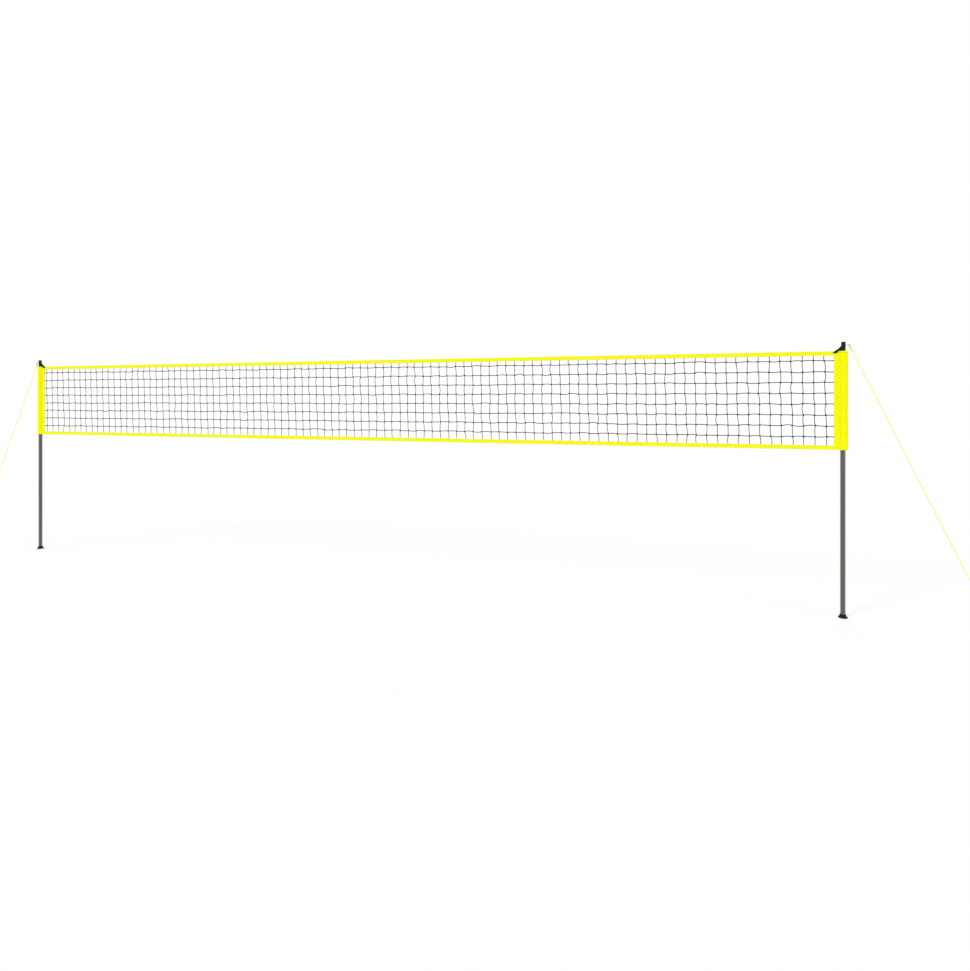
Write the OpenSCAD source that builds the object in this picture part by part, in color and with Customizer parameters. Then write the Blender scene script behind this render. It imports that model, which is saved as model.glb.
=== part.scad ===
// Portable volleyball net between two telescopic poles, held by a guy rope at each end.
// Frame: origin on the ground midway between the poles, +X along the net, +Z up, net in Y = 0.
// Each end is modelled once, with +X outboard from its pole's axis, and mirrored for the left.

/* [Net] */
// Length of the net, outer edge to outer edge of its side sleeves
net_length = 9750; // [8500:10:10500]
// Height of the net, bottom edge to top edge
net_height = 910; // [880:5:1000]
// Height of the net's top edge above the ground
net_top_z = 2450; // [2440:5:2500]
// Height of the tape sewn along the top edge and the bottom edge
tape_height = 40; // [30:1:60]
// Thickness of the tape's cloth, on each face of the fold
tape_cloth = 1.5; // [1:0.1:2]
// Thickness of the cord inside each tape
cord_d = 4; // [3:0.5:5]
// Thickness of the netting twine
twine_d = 4; // [2:0.5:4]
// Distance from the net's top edge to its first row of knots
first_row = 87; // [60:1:110]
// Distance between rows of knots
row_pitch = 100.6; // [80:0.2:108]
// Number of rows of knots
row_count = 8; // [4:1:8]
// Number of openings along the net
mesh_columns = 33; // [20:1:33]

/* [Side sleeves] */
// Width of a side sleeve laid flat
sleeve_width = 116; // [104:1:150]
// Distance from the pole's axis to the sleeve's outer edge
pole_inset = 43; // [41:0.5:48]
// Room between the lock collar and the inside of the sleeve
sleeve_ease = 1.5; // [1:0.25:3]
// Thickness of the sleeve's cloth
sleeve_cloth = 1.5; // [1:0.1:2]
// Thickness of the sleeve's flat sewn margins
seam_d = 3; // [2:0.5:3.5]

/* [Poles] */
// Outside diameter of the lower and middle tubes
tube_d = 45; // [42:0.5:46]
// Wall of the lower and middle tubes
tube_wall = 1.5; // [1.2:0.1:1.8]
// Radial space between the middle tube's bore and the upper tube, filled by a bush
bush_space = 2; // [1.5:0.25:4]
// Wall of the upper tube
upper_wall = 1.2; // [1:0.1:1.6]
// Height of the joint between the lower tube and the middle tube
joint_z = 850; // [700:5:1000]
// Height of the middle tube's top end
lock_z = 1700; // [1660:5:1800]
// Length of the upper tube inside the middle tube
upper_overlap = 300; // [200:5:400]
// Length of the bush on the upper tube's foot
bush_length = 40; // [20:1:80]
// Length of the spigot below the joint
spigot_below = 120; // [100:1:160]
// Length of the spigot above the joint
spigot_above = 80; // [50:1:120]
// Wall of the spigot
spigot_wall = 1.5; // [1.2:0.1:2]

/* [Feet] */
// Diameter of the foot on the ground
foot_d = 80; // [74:1:100]
// Height of the foot
foot_height = 32; // [28:1:40]
// Thickness of rubber under the tube
foot_floor = 6; // [4:0.5:9]
// Diameter of the foot's neck round the tube
foot_neck_d = 54; // [52:0.5:60]
// Radius of the hollow flare between the neck and the base
foot_flare_r = 24; // [20:1:30]

/* [Snap button] */
// Diameter of the snap button
button_d = 8.4; // [6:0.2:10]
// How far the button's head stands out of the tube
button_out = 3; // [2:0.1:3.5]
// Distance from the pole joint down to the button
button_drop = 60; // [45:1:80]
// Thickness of the button's spring strip
spring_t = 0.8; // [0.5:0.1:1.2]
// Width of the button's spring strip
spring_w = 10; // [6:0.5:14]

/* [Twist lock] */
// How far the lock collar stands out from the tube
collar_out = 5.5; // [5:0.25:6]
// Height of the lock collar below the middle tube's end
collar_below = 44; // [30:1:60]
// Height of the collet above the middle tube's end
collet_height = 22; // [16:1:30]
// Wall of the collet at its foot
collet_wall = 5; // [4:0.25:5]
// Wall of the collet at its tip
collet_tip_wall = 2.4; // [2:0.1:3]
// Thickness of the collar's top lip
collar_lip = 7; // [5:0.5:10]
// Number of finger flutes on the collar
flute_count = 18; // [12:1:20]
// Wall of the lock base round the middle tube
base_wall = 2.6; // [2:0.1:2.8]
// Height of the lock base
base_height = 60; // [50:1:90]

/* [Top cap] */
// Height of the cap's post above the net's top edge
post_height = 85; // [75:1:100]
// Reach of the post inboard of the pole's axis
post_inboard = 11.5; // [9:0.5:14]
// Thickness of the post across the net
post_t = 24; // [18:1:28]
// Reach of the horn inboard of the pole's axis
horn_reach = 83; // [78:0.5:88]
// Thickness of the horn across the net
horn_t = 18; // [17:0.5:22]
// Depth of the horn's two prongs beside the tape
prong_depth = 18; // [14:0.5:22]
// Radius of the horn's hollow upper edge
horn_arc_r = 86.8; // [84:0.2:90]
// Depth of the pocket in each face of the horn
pocket_d = 4; // [2:0.5:6]
// Length of the cap's plug inside the upper tube
plug_length = 50; // [30:1:80]

/* [Guy fittings] */
// Height of the eye bolt above the net's top edge
eye_rise = 55; // [50:0.5:60]
// Distance from the pole's axis to the centre of the eye
eye_out = 52; // [50:0.5:54]
// Mean radius of the eye
eye_r = 8; // [7:0.5:9]
// Thickness of the eye bolt
eye_wire = 4.5; // [3.5:0.5:5]
// Thickness of the steel link's wire
link_wire = 4; // [3:0.5:4.5]
// Distance between the two round ends' centres of the link
link_straight = 12; // [10:0.5:16]
// Mean radius of the link's round ends
link_r = 8; // [7.5:0.25:9]
// Diameter of the guy rope
rope_d = 6; // [5:0.5:6.5]
// Length of the rope tensioner across its two holes
slider_length = 50; // [44:1:60]
// Width of the rope tensioner
slider_width = 18; // [14:1:24]
// Thickness of the rope tensioner
slider_t = 10; // [8:0.5:14]
// Thickness of the ground plate and its ear
plate_t = 3; // [2:0.25:4]
// Length of the ground plate
plate_length = 82; // [76:1:100]
// Width of the ground plate
plate_width = 40; // [30:1:60]
// Radius of the ground plate's stake hole
stake_hole_r = 6.25; // [5:0.25:8]
// Radius of the rope hole in the ear
rope_hole_r = 7; // [6.5:0.25:7.5]

/* [Hidden] */

$fn = 64;
round_fn = 32;

// Clearances: a running or push fit, a loose neighbour, and a sewn or threaded neighbour
fit = 0.05;
gap = 0.3;
cut = 1;

net_bottom_z = net_top_z - net_height;
pole_x = net_length / 2 - pole_inset;
mesh_half = pole_x - (sleeve_width - pole_inset);
tape_t = cord_d + 2 * gap + 2 * tape_cloth;
cord_top_z = net_top_z - tape_t / 2;
cord_bottom_z = net_bottom_z + tape_t / 2;
tuck = 12;
apex = pole_inset - 3;

tube_r = tube_d / 2;
tube_bore_r = tube_r - tube_wall;
spigot_r = tube_bore_r - fit;
spigot_bore_r = spigot_r - spigot_wall;
upper_r = tube_bore_r - bush_space;
upper_bottom_z = lock_z - upper_overlap;
button_z = joint_z - button_drop;
button_hole_r = button_d / 2 + gap;
button_back = spigot_bore_r - 5.5;
base_r = tube_r + fit + base_wall;
collar_r = tube_r + collar_out;
sleeve_bore_r = collar_r + sleeve_ease;
cone_foot_r = upper_r + fit + collet_wall;
cone_tip_r = upper_r + fit + collet_tip_wall;
eye_z = net_top_z + eye_rise;
bolt_hole_r = eye_wire / 2 + gap;
nut_af = 8;
nut_h = 4;

// Guy rope's route, outboard of the pole's axis: straight down to the tensioner, on to the
// ground plate's ear and round through its hole. It runs 9 out for every 20 down, and is
// drawn for an eye at ROUTE_EYE: its first point moves with the eye, the rest with the plate.
ROUTE_EYE = [52, 0, 2505];
ROPE_ROUTE = [
    [79, 0, 2445], [88, 0, 2425], [178, -1.5, 2225], [268, -3, 2025], [358, -4.5, 1825],
    [448, -6, 1625], [538, -7.5, 1425], [628, -9, 1225], [718, -10.5, 1025],
    [808, -12, 825], [898, -13.5, 625], [988, -15, 425], [1033, -15, 325],
    [1078, -15, 225], [1123, -15, 125], [1158.3, -15, 46.7], [1161.8, -15, 38.7],
    [1164.4, -13, 33], [1166.4, -8.8, 28.6], [1167.7, -3.1, 25.7], [1167.7, 3.1, 25.7],
    [1166.4, 8.8, 28.6], [1164.4, 13, 33], [1161.8, 15, 38.7], [1158.3, 15, 46.7]
];
TAIL_ROUTE = [[1158.3, 15, 46.7], [1123, 15, 125], [1078, 15, 225], [1062.25, 15, 260]];
ROPE_SIDES = 10;
eye_moved = [eye_out, 0, eye_z] - ROUTE_EYE;
plate_moved = [eye_moved[0] + eye_moved[2] * 9 / 20, 0, 0];
rope_dir = [9, 0, -20] / norm([9, 0, -20]);
rope_side = [20, 0, 9] / norm([20, 0, 9]);
rope_lean = atan(9 / 20);
strand_y = 15;
rope_turn = [1168, 0, 25];
rope_hole_at = rope_turn + plate_moved + rope_dir * (rope_hole_r - rope_d / 2 - gap);
tail_end = TAIL_ROUTE[len(TAIL_ROUTE) - 1];
slider_top = [tail_end[0], 0, tail_end[2]] + plate_moved;
top_knot_length = 20;
tail_knot_length = 14;
knot_r = 6.5;

YELLOW = "#faff05";
BLACK = "#1a1a1b";
POLE_GREY = "#6d6e69";
STEEL = "#b4b6b8";
NYLON = "#d9d9d2";

// ---------------------------------------------------------------- placing

// One end of the net: side is 1 for the right end and -1 for the left
module end_of(side) {
    translate([side * pole_x, 0, 0]) mirror([side < 0 ? 1 : 0, 0, 0]) children();
}

// A frame whose +Z runs up along the guy rope
module along_rope(at) {
    translate(at) rotate([0, -rope_lean, 0]) children();
}

module tube(outer_r, bore_r, low, high) {
    translate([0, 0, low]) difference() {
        cylinder(r = outer_r, h = high - low);
        translate([0, 0, -cut]) cylinder(r = bore_r, h = high - low + 2 * cut);
    }
}

// ---------------------------------------------------------------- pole

module foot() {
    rim_r = foot_d / 2;
    neck_r = foot_neck_d / 2;
    edge_r = 2;
    flare_top = foot_height - 4;
    groove_w = 3;
    groove_d = 1.5;
    groove_inset = [14, 8];
    color(BLACK) rotate_extrude() difference() {
        union() {
            square([rim_r - edge_r, flare_top]);
            translate([0, edge_r]) square([rim_r, flare_top - edge_r]);
            translate([rim_r - edge_r, edge_r]) circle(r = edge_r, $fn = round_fn);
            square([neck_r, foot_height]);
        }
        // hollow flare from the neck down to the rim
        translate([neck_r + foot_flare_r, flare_top]) circle(r = foot_flare_r, $fn = 96);
        translate([neck_r + foot_flare_r, flare_top - foot_flare_r])
            square([foot_d, foot_height]);
        // socket for the tube, and two tread grooves underneath
        translate([0, foot_floor]) square([tube_r + fit, foot_height]);
        for (inset = groove_inset) translate([rim_r - inset, -cut])
            square([groove_w, cut + groove_d]);
    }
}

module button_hole() {
    translate([0, 0, button_z]) rotate([-90, 0, 0]) cylinder(r = button_hole_r, h = tube_d);
}

module lower_tube() {
    color(POLE_GREY) difference() {
        tube(tube_r, tube_bore_r, foot_floor, joint_z);
        button_hole();
    }
}

module spigot() {
    color(STEEL) difference() {
        tube(spigot_r, spigot_bore_r, joint_z - spigot_below, joint_z + spigot_above);
        button_hole();
    }
}

module middle_tube() {
    color(POLE_GREY) tube(tube_r, tube_bore_r, joint_z, lock_z);
}

// Domed button on a flange, pointing away from the pole's axis along +Y
module snap_button() {
    dome_r = (pow(button_d / 2, 2) + pow(button_out, 2)) / (2 * button_out);
    reach = tube_r + button_out;
    flange_t = 1.5;
    flange_out = 1.8;
    color(STEEL) translate([0, 0, button_z]) rotate([-90, 0, 0]) rotate_extrude() {
        intersection() {
            translate([0, button_back]) square([button_d / 2, reach - button_back]);
            translate([0, reach - dome_r]) circle(r = dome_r, $fn = 96);
            translate([0, button_back]) square([dome_r, dome_r + reach]);
        }
        translate([0, button_back]) square([button_d / 2, tube_r - button_back]);
        translate([0, button_back]) square([button_d / 2 + flange_out, flange_t]);
    }
}

// U-shaped strip inside the spigot: one leg behind the button, one against the far wall
module snap_spring() {
    near = button_back;
    far = -(sqrt(pow(spigot_bore_r, 2) - pow(spring_w / 2, 2)) - gap);
    bend_r = (near - far) / 2;
    leg_below = 34;
    leg_above = 8;
    leg = leg_below + leg_above;
    bend_z = button_z - leg_below;
    color(STEEL) translate([-spring_w / 2, 0, 0]) rotate([90, 0, 90]) linear_extrude(spring_w) {
        translate([near - spring_t, bend_z]) square([spring_t, leg]);
        translate([far, bend_z]) square([spring_t, leg]);
        translate([(near + far) / 2, bend_z]) difference() {
            circle(r = bend_r, $fn = 96);
            circle(r = bend_r - spring_t, $fn = 96);
            translate([-2 * bend_r, 0]) square([4 * bend_r, 2 * bend_r]);
        }
    }
}

// ---------------------------------------------------------------- twist lock

// Fixed sleeve round the middle tube's end, with a grip ring at its foot
module lock_base() {
    low = lock_z - base_height;
    ring_to_collar = 4;
    color(BLACK) difference() {
        union() {
            tube(base_r, tube_r + fit, low, lock_z);
            tube(collar_r, tube_r + fit, low, lock_z - collar_below - ring_to_collar);
        }
        flutes(low - cut, lock_z - cut);
    }
}

// Split cone that the collar squeezes onto the upper tube
module lock_collet() {
    slots = 6;
    slot_w = 2;
    slot_foot = 5;
    color(NYLON) translate([0, 0, lock_z]) difference() {
        cylinder(r1 = cone_foot_r, r2 = cone_tip_r, h = collet_height);
        translate([0, 0, -cut]) cylinder(r = upper_r + fit, h = collet_height + 2 * cut);
        for (i = [0 : slots - 1]) rotate([0, 0, i * 360 / slots])
            translate([0, -slot_w / 2, slot_foot]) cube([tube_d, slot_w, collet_height]);
    }
}

module flutes(low, high) {
    flute_r = 2.6;
    depth = 1.4;
    for (i = [0 : flute_count - 1]) rotate([0, 0, i * 360 / flute_count])
        translate([collar_r + flute_r - depth, 0, low])
            cylinder(r = flute_r, h = high - low, $fn = round_fn);
}

// Hand-turned collar over the base and the collet
module lock_collar() {
    top_z = collet_height + gap + collar_lip;
    bevel = 5;
    color(BLACK) translate([0, 0, lock_z]) difference() {
        rotate_extrude() difference() {
            polygon([
                [0, -collar_below], [collar_r, -collar_below],
                [collar_r, top_z - bevel], [collar_r - bevel, top_z], [0, top_z]
            ]);
            translate([0, -collar_below - cut]) square([base_r + gap, collar_below + cut + gap]);
            // the cone follows the collet's, a gap outside it
            polygon([
                [0, 0], [cone_foot_r + gap, 0], [cone_foot_r + gap, gap],
                [cone_tip_r + gap, collet_height + gap], [0, collet_height + gap]
            ]);
            square([upper_r + gap, top_z + cut]);
        }
        flutes(-collar_below - cut, top_z - 2 * bevel);
    }
}

// Bush on the upper tube's foot, running in the middle tube
module guide_bush() {
    lip = 3;
    lip_in = 4;
    color(NYLON) rotate_extrude() difference() {
        translate([upper_r - lip_in, upper_bottom_z - lip])
            square([bush_space - fit + lip_in, bush_length + lip]);
        translate([0, upper_bottom_z]) square([upper_r + fit, bush_length + cut]);
    }
}

module upper_tube() {
    color(POLE_GREY) tube(upper_r, upper_r - upper_wall, upper_bottom_z, net_top_z);
}

// ---------------------------------------------------------------- top cap

// Outlines in the net's plane: x outboard from the pole's axis, y up from the net's top edge
module post_outline() {
    r = 8;
    w = post_inboard + tube_r;
    translate([-post_inboard, 0]) {
        square([w, post_height - r]);
        translate([r, 0]) square([w - 2 * r, post_height]);
        for (x = [r, w - r]) translate([x, post_height - r]) circle(r = r, $fn = round_fn);
    }
}

// The horn's hollow upper edge is an arc that meets the post at the eye bolt
arc_above = 37;
horn_arc_at = [
    -post_inboard - sqrt(pow(horn_arc_r, 2) - pow(arc_above, 2)),
    eye_rise + arc_above
];

// A round nose, and a beak above it that slopes up to the arc. The beak's line crosses the
// nose's circle at a slight angle, because an exact tangent leaves a sliver.
module horn_outline() {
    nose = 5.5;
    nose_at = [nose - horn_reach, nose - prong_depth];
    beak_slope = 35;
    beak_rise = 1.15 * nose;
    back_x = nose_at[0] - nose * sin(beak_slope);
    block = eye_rise + 4;
    heel = 8;
    difference() {
        polygon([
            [0, gap], [-apex, gap], [-apex - 3, heel - prong_depth],
            [-apex - 2 * heel, -prong_depth], [nose_at[0], -prong_depth],
            [back_x, nose_at[1]], [back_x, block], [0, block]
        ]);
        translate(horn_arc_at) circle(r = horn_arc_r, $fn = 128);
        translate([nose_at[0], nose_at[1] + beak_rise]) rotate(beak_slope)
            translate([-horn_reach / 2, 0]) square([horn_reach, horn_reach]);
    }
    translate(nose_at) circle(r = nose, $fn = round_fn);
}

module horn_pocket() {
    rim = 5;
    rim_below = 5.5;
    tip_solid = 31;
    into_post = 3;
    pocket_w = horn_reach - tip_solid - post_inboard + into_post;
    difference() {
        translate([tip_solid - horn_reach, rim_below]) square([pocket_w, eye_rise - 4 * rim]);
        translate(horn_arc_at) circle(r = horn_arc_r + rim, $fn = 128);
    }
}

module top_cap() {
    flange_t = 6;
    plug_r = upper_r - upper_wall - fit;
    plug_wall = 3;
    slot_end = 5 - apex;
    trap_out = 12;
    color(BLACK) translate([0, 0, net_top_z]) difference() {
        union() {
            cylinder(r = tube_r, h = flange_t);
            translate([0, 0, -plug_length]) cylinder(r = plug_r, h = plug_length + cut);
            intersection() {
                rotate([90, 0, 0]) linear_extrude(post_t, center = true) post_outline();
                cylinder(r = tube_r, h = post_height + cut);
            }
            rotate([90, 0, 0]) linear_extrude(horn_t, center = true) horn_outline();
        }
        // hollow plug
        translate([0, 0, -plug_length - cut])
            cylinder(r = plug_r - plug_wall, h = plug_length + cut - plug_wall);
        // weight-saving pocket in each face of the horn
        for (m = [0, 1]) mirror([0, m, 0]) translate([0, -horn_t / 2 + pocket_d, 0])
            rotate([90, 0, 0]) linear_extrude(pocket_d + cut) horn_pocket();
        // slot between the prongs for the net's top tape
        translate([-horn_reach - cut, -tape_t / 2 - gap, -prong_depth - cut])
            cube([horn_reach + cut + slot_end, tape_t + 2 * gap, prong_depth + cut + gap]);
        // bolt hole, and a hexagonal trap for its nut
        translate([-post_inboard - cut, 0, eye_rise]) rotate([0, 90, 0])
            cylinder(r = bolt_hole_r, h = tube_d + post_inboard);
        translate([-post_inboard - trap_out, 0, eye_rise]) rotate([0, 90, 0])
            cylinder(d = (nut_af + 2 * gap) / cos(30), h = nut_h + trap_out, $fn = 6);
    }
}

// ---------------------------------------------------------------- guy fittings

module ring(mean_r, wire) {
    rotate([90, 0, 0]) rotate_extrude() translate([mean_r, 0]) circle(d = wire, $fn = round_fn);
}

module eye_bolt() {
    stop_d = 2 * eye_wire;
    stop_t = 2.5;
    color(STEEL) translate([0, 0, eye_z]) {
        translate([eye_out, 0, 0]) ring(eye_r, eye_wire);
        translate([-post_inboard, 0, 0]) rotate([0, 90, 0])
            cylinder(d = eye_wire, h = post_inboard + eye_out - eye_r);
        translate([tube_r, 0, 0]) rotate([0, 90, 0]) cylinder(d = stop_d, h = stop_t);
    }
}

module eye_nut() {
    color(STEEL) translate([-post_inboard, 0, eye_z]) rotate([0, 90, 0]) difference() {
        cylinder(d = nut_af / cos(30), h = nut_h, $fn = 6);
        translate([0, 0, -cut]) cylinder(d = eye_wire + 2 * fit, h = nut_h + 2 * cut);
    }
}

// Depths below the eye's centre, measured along the rope, of the chain that hangs in it
link_top = eye_r - (eye_wire + link_wire) / 2 - gap + link_r;
link_foot = link_top + link_straight;
loop_r = 12;
loop_at = link_foot + link_r - (link_wire + rope_d) / 2 - gap + loop_r;
knot_foot = norm(ROPE_ROUTE[0] - ROUTE_EYE);

module half_ring(mean_r, wire) {
    rotate_extrude(angle = 180) translate([mean_r, 0]) circle(d = wire, $fn = round_fn);
}

module link() {
    color(STEEL) along_rope([eye_out, 0, eye_z]) {
        translate([0, 0, -link_top]) rotate([90, 0, 90]) half_ring(link_r, link_wire);
        translate([0, 0, -link_foot]) rotate([-90, 0, -90]) half_ring(link_r, link_wire);
        for (y = [-link_r, link_r]) translate([0, y, -link_foot])
            cylinder(d = link_wire, h = link_straight, $fn = round_fn);
    }
}

// Wraps of a knot between two heights on its own axis
module wraps(outer_r, low, high, turns) {
    pitch = (high - low) / turns;
    rotate_extrude() {
        translate([0, low]) square([outer_r - pitch / 3, high - low]);
        for (i = [0 : turns - 1]) translate([outer_r - pitch / 2, low + (i + 0.5) * pitch])
            circle(d = pitch, $fn = round_fn);
    }
}

module top_knot() {
    color(YELLOW) along_rope([eye_out, 0, eye_z]) {
        translate([0, 0, -loop_at]) ring(loop_r, rope_d);
        wraps(knot_r, -knot_foot, top_knot_length - knot_foot, 4);
    }
}

// A round tube swept along a route that lies in the plane of the rope and the Y axis
module rope(route) {
    last = len(route) - 1;
    tangents = [for (i = [0 : last])
        let (t = route[min(i + 1, last)] - route[max(i - 1, 0)]) t / norm(t)];
    points = [for (i = [0 : last], k = [0 : ROPE_SIDES - 1])
        let (a = 360 * k / ROPE_SIDES, b = cross(tangents[i], rope_side))
        route[i] + rope_d / 2 * (cos(a) * rope_side + sin(a) * b)];
    n = ROPE_SIDES;
    quads = [for (i = [0 : last - 1], k = [0 : n - 1])
        [i * n + k, i * n + (k + 1) % n, (i + 1) * n + (k + 1) % n, (i + 1) * n + k]];
    walls = [for (q = quads, half = [[0, 2, 1], [0, 3, 2]]) [for (j = half) q[j]]];
    start = [for (k = [0 : n - 1]) k];
    end = [for (k = [n - 1 : -1 : 0]) last * n + k];
    color(YELLOW) polyhedron(points, concat(walls, [start], [end]));
}

module guy_rope() {
    rope([for (i = [0 : len(ROPE_ROUTE) - 1])
        ROPE_ROUTE[i] + (i == 0 ? eye_moved : plate_moved)]);
}

module guy_tail() {
    rope([for (p = TAIL_ROUTE) p + plate_moved]);
}

module tail_knot() {
    color(YELLOW) along_rope(slider_top + [0, strand_y, 0])
        wraps(knot_r, fit, tail_knot_length, 3);
}

// Plastic bar with a hole for the rope and a hole for its tail
module tensioner() {
    far = slider_length / 2 - slider_width / 2;
    color(BLACK) along_rope(slider_top) translate([0, 0, -slider_t]) difference() {
        union() {
            translate([-slider_width / 2, -far, 0]) cube([slider_width, 2 * far, slider_t]);
            for (y = [-far, far]) translate([0, y, 0]) cylinder(d = slider_width, h = slider_t);
        }
        for (y = [-strand_y, strand_y]) translate([0, y, -cut])
            cylinder(r = rope_d / 2 + gap, h = slider_t + 2 * cut);
        translate([0, 0, -cut]) cylinder(r = strand_y / 4, h = slider_t + 2 * cut);
    }
}

// Steel plate on the ground, with an ear for the rope and a hole for a stake
module ground_plate() {
    ear_wall = 6;
    ear_inset = 8;
    stake_inset = 18;
    corner = 6;
    ear_r = rope_hole_r + ear_wall;
    start_x = rope_hole_at[0] - ear_r - ear_inset;
    end_x = start_x + plate_length;
    color(STEEL) {
        difference() {
            union() {
                translate([start_x + corner, -plate_width / 2, 0])
                    cube([plate_length - 2 * corner, plate_width, plate_t]);
                translate([start_x, -plate_width / 2 + corner, 0])
                    cube([plate_length, plate_width - 2 * corner, plate_t]);
                for (x = [start_x + corner, end_x - corner], y = [-1, 1])
                    translate([x, y * (plate_width / 2 - corner), 0])
                        cylinder(r = corner, h = plate_t, $fn = round_fn);
            }
            translate([end_x - stake_inset, 0, -cut]) cylinder(r = stake_hole_r, h = plate_t + 2 * cut);
        }
        difference() {
            translate([0, plate_t / 2, 0]) rotate([90, 0, 0]) linear_extrude(plate_t) {
                translate([rope_hole_at[0], rope_hole_at[2]]) circle(r = ear_r);
                translate([rope_hole_at[0] - ear_r, 0]) square([2 * ear_r, rope_hole_at[2]]);
            }
            translate(rope_hole_at) rotate([90, 0, 0])
                cylinder(r = rope_hole_r, h = 4 * plate_t, center = true);
        }
    }
}

// ---------------------------------------------------------------- net

// Round middle with straight flanks down to a point each side. The flanks meet the circle at
// a slight angle, because an exact tangent leaves a sliver.
module eye_outline(r, point) {
    bite = 0.2;
    s = r - bite;
    x = s * s / point;
    y = s * sqrt(1 - pow(s / point, 2));
    circle(r = r);
    polygon([[point, 0], [x, y], [-x, y], [-point, 0], [-x, -y], [x, -y]]);
}

module sleeve() {
    inner_point = apex - sleeve_cloth * apex / (sleeve_bore_r + sleeve_cloth);
    margin = sleeve_width - pole_inset;
    color(YELLOW) difference() {
        union() {
            translate([0, 0, net_bottom_z]) linear_extrude(net_height)
                eye_outline(sleeve_bore_r + sleeve_cloth, apex);
            translate([-margin, -seam_d / 2, net_bottom_z + tape_height - tuck])
                cube([margin - apex + 2, seam_d, net_height - 2 * tape_height + 2 * tuck]);
            translate([apex - 2, -seam_d / 2, net_bottom_z])
                cube([pole_inset - apex + 2, seam_d, net_height]);
        }
        translate([0, 0, net_bottom_z - cut]) linear_extrude(net_height + 2 * cut)
            eye_outline(sleeve_bore_r, inner_point);
        for (z = [cord_bottom_z, cord_top_z]) translate([-sleeve_width, 0, z])
            rotate([0, 90, 0]) cylinder(r = cord_d / 2 + gap, h = sleeve_width);
    }
}

// Cloth folded over a cord: a rounded fold at y = 0 of the outline, open away from it
module tape_outline() {
    bore = tape_t / 2 - tape_cloth;
    difference() {
        union() {
            translate([0, -tape_t / 2]) circle(d = tape_t, $fn = round_fn);
            translate([-tape_t / 2, -tape_height]) square([tape_t, tape_height - tape_t / 2]);
        }
        translate([0, -tape_t / 2]) circle(r = bore, $fn = round_fn);
        translate([-bore, -tape_height - cut]) square([2 * bore, tape_height - tape_t / 2 + cut]);
    }
}

module tape_along_net() {
    half = pole_x - apex - gap;
    translate([-half, 0, 0]) rotate([90, 0, 90]) linear_extrude(2 * half) tape_outline();
}

module top_tape() {
    color(YELLOW) translate([0, 0, net_top_z]) tape_along_net();
}

module bottom_tape() {
    color(YELLOW) translate([0, 0, net_bottom_z]) mirror([0, 0, 1]) tape_along_net();
}

// Straight cord with a loop round the pole at each end
module net_cord(z, pole_r) {
    loop = pole_r + gap + cord_d / 2;
    color(BLACK) translate([0, 0, z]) {
        translate([loop - pole_x, 0, 0]) rotate([0, 90, 0])
            cylinder(d = cord_d, h = 2 * (pole_x - loop), $fn = round_fn);
        for (side = [-1, 1]) translate([side * pole_x, 0, 0]) rotate_extrude()
            translate([loop, 0]) circle(d = cord_d, $fn = round_fn);
    }
}

module top_cord() {
    net_cord(cord_top_z, upper_r);
}

module bottom_cord() {
    net_cord(cord_bottom_z, tube_r);
}

// Netting in one piece, its border strands tucked into the tapes
module net_mesh() {
    low = net_bottom_z + tape_height - tuck;
    high = net_top_z - tape_height + tuck;
    rows = concat(
        [high - twine_d / 2],
        [for (i = [0 : row_count - 1]) net_top_z - first_row - i * row_pitch],
        [low + twine_d / 2]
    );
    column_pitch = (2 * mesh_half - twine_d) / mesh_columns;
    color(BLACK) rotate([90, 0, 0]) linear_extrude(twine_d, center = true) difference() {
        translate([-mesh_half, low]) square([2 * mesh_half, high - low]);
        for (i = [0 : row_count], c = [0 : mesh_columns - 1])
            translate([-mesh_half + twine_d + c * column_pitch, rows[i + 1] + twine_d / 2])
                square([column_pitch - twine_d, rows[i] - rows[i + 1] - twine_d]);
    }
}

// ---------------------------------------------------------------- nodes

end_of(-1) foot();  // left_foot
end_of(-1) lower_tube();  // left_lower_tube
end_of(-1) spigot();  // left_spigot
end_of(-1) middle_tube();  // left_middle_tube
end_of(-1) snap_button();  // left_snap_button
end_of(-1) snap_spring();  // left_snap_spring
end_of(-1) lock_base();  // left_lock_base
end_of(-1) lock_collet();  // left_lock_collet
end_of(-1) lock_collar();  // left_lock_collar
end_of(-1) guide_bush();  // left_guide_bush
end_of(-1) upper_tube();  // left_upper_tube
end_of(-1) top_cap();  // left_top_cap
end_of(-1) eye_bolt();  // left_eye_bolt
end_of(-1) eye_nut();  // left_eye_nut
end_of(-1) link();  // left_link
end_of(-1) top_knot();  // left_top_knot
end_of(-1) guy_rope();  // left_guy_rope
end_of(-1) guy_tail();  // left_guy_tail
end_of(-1) tail_knot();  // left_tail_knot
end_of(-1) tensioner();  // left_tensioner
end_of(-1) ground_plate();  // left_ground_plate
end_of(-1) sleeve();  // left_sleeve
end_of(1) foot();  // right_foot
end_of(1) lower_tube();  // right_lower_tube
end_of(1) spigot();  // right_spigot
end_of(1) middle_tube();  // right_middle_tube
end_of(1) snap_button();  // right_snap_button
end_of(1) snap_spring();  // right_snap_spring
end_of(1) lock_base();  // right_lock_base
end_of(1) lock_collet();  // right_lock_collet
end_of(1) lock_collar();  // right_lock_collar
end_of(1) guide_bush();  // right_guide_bush
end_of(1) upper_tube();  // right_upper_tube
end_of(1) top_cap();  // right_top_cap
end_of(1) eye_bolt();  // right_eye_bolt
end_of(1) eye_nut();  // right_eye_nut
end_of(1) link();  // right_link
end_of(1) top_knot();  // right_top_knot
end_of(1) guy_rope();  // right_guy_rope
end_of(1) guy_tail();  // right_guy_tail
end_of(1) tail_knot();  // right_tail_knot
end_of(1) tensioner();  // right_tensioner
end_of(1) ground_plate();  // right_ground_plate
end_of(1) sleeve();  // right_sleeve
net_mesh();
top_tape();
bottom_tape();
top_cord();
bottom_cord();
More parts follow.
